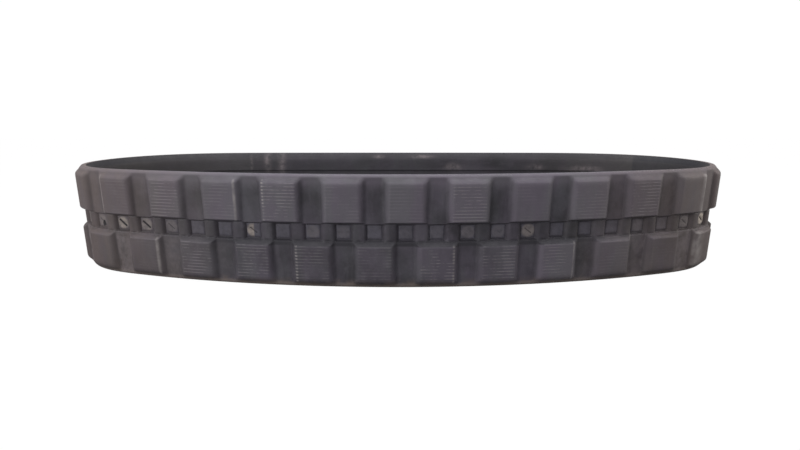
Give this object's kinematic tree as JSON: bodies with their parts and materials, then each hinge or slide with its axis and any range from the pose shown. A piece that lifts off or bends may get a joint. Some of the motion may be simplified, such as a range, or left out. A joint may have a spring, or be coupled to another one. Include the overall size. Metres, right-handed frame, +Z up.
{
  "type": "rubber track",
  "caption": "Endless rubber crawler track standing on its edge, with staggered block lugs outside, a row of drive windows along the middle, and steel cores with guide horns inside.",
  "frame": {"origin": "on the floor, under the middle of the standing loop", "axes": "+X along the long side that faces the camera in the picture, towards its right end, +Y from that side to the far side, +Z up across the belt's width"},
  "size_m": [2.1334, 0.7646, 0.32],
  "materials": {
    "tread_rubber": "dusty moulded rubber",
    "inner_rubber": "smooth moulded rubber",
    "steel_cord": "brass-coated wire cord",
    "core_steel": "forged and shot-blasted"
  },
  "bodies": {
    "root": {"tread_rubber": "tread_rubber", "inner_rubber": "inner_rubber", "upper_cord_belt": "steel_cord", "lower_cord_belt": "steel_cord", "core_01": "core_steel", "core_02": "core_steel", "core_03": "core_steel", "core_04": "core_steel", "core_05": "core_steel", "core_06": "core_steel", "core_07": "core_steel", "core_08": "core_steel", "core_09": "core_steel", "core_10": "core_steel", "core_11": "core_steel", "core_12": "core_steel", "core_13": "core_steel", "core_14": "core_steel", "core_15": "core_steel", "core_16": "core_steel", "core_17": "core_steel", "core_18": "core_steel", "core_19": "core_steel", "core_20": "core_steel", "core_21": "core_steel", "core_22": "core_steel", "core_23": "core_steel", "core_24": "core_steel", "core_25": "core_steel", "core_26": "core_steel", "core_27": "core_steel", "core_28": "core_steel", "core_29": "core_steel", "core_30": "core_steel", "core_31": "core_steel", "core_32": "core_steel", "core_33": "core_steel", "core_34": "core_steel", "core_35": "core_steel", "core_36": "core_steel", "core_37": "core_steel", "core_38": "core_steel", "core_39": "core_steel", "core_40": "core_steel", "core_41": "core_steel", "core_42": "core_steel", "core_43": "core_steel", "core_44": "core_steel", "core_45": "core_steel", "core_46": "core_steel", "core_47": "core_steel", "core_48": "core_steel", "core_49": "core_steel", "core_50": "core_steel", "core_51": "core_steel", "core_52": "core_steel", "core_53": "core_steel", "core_54": "core_steel", "core_55": "core_steel", "core_56": "core_steel"}
  },
  "joints": []
}
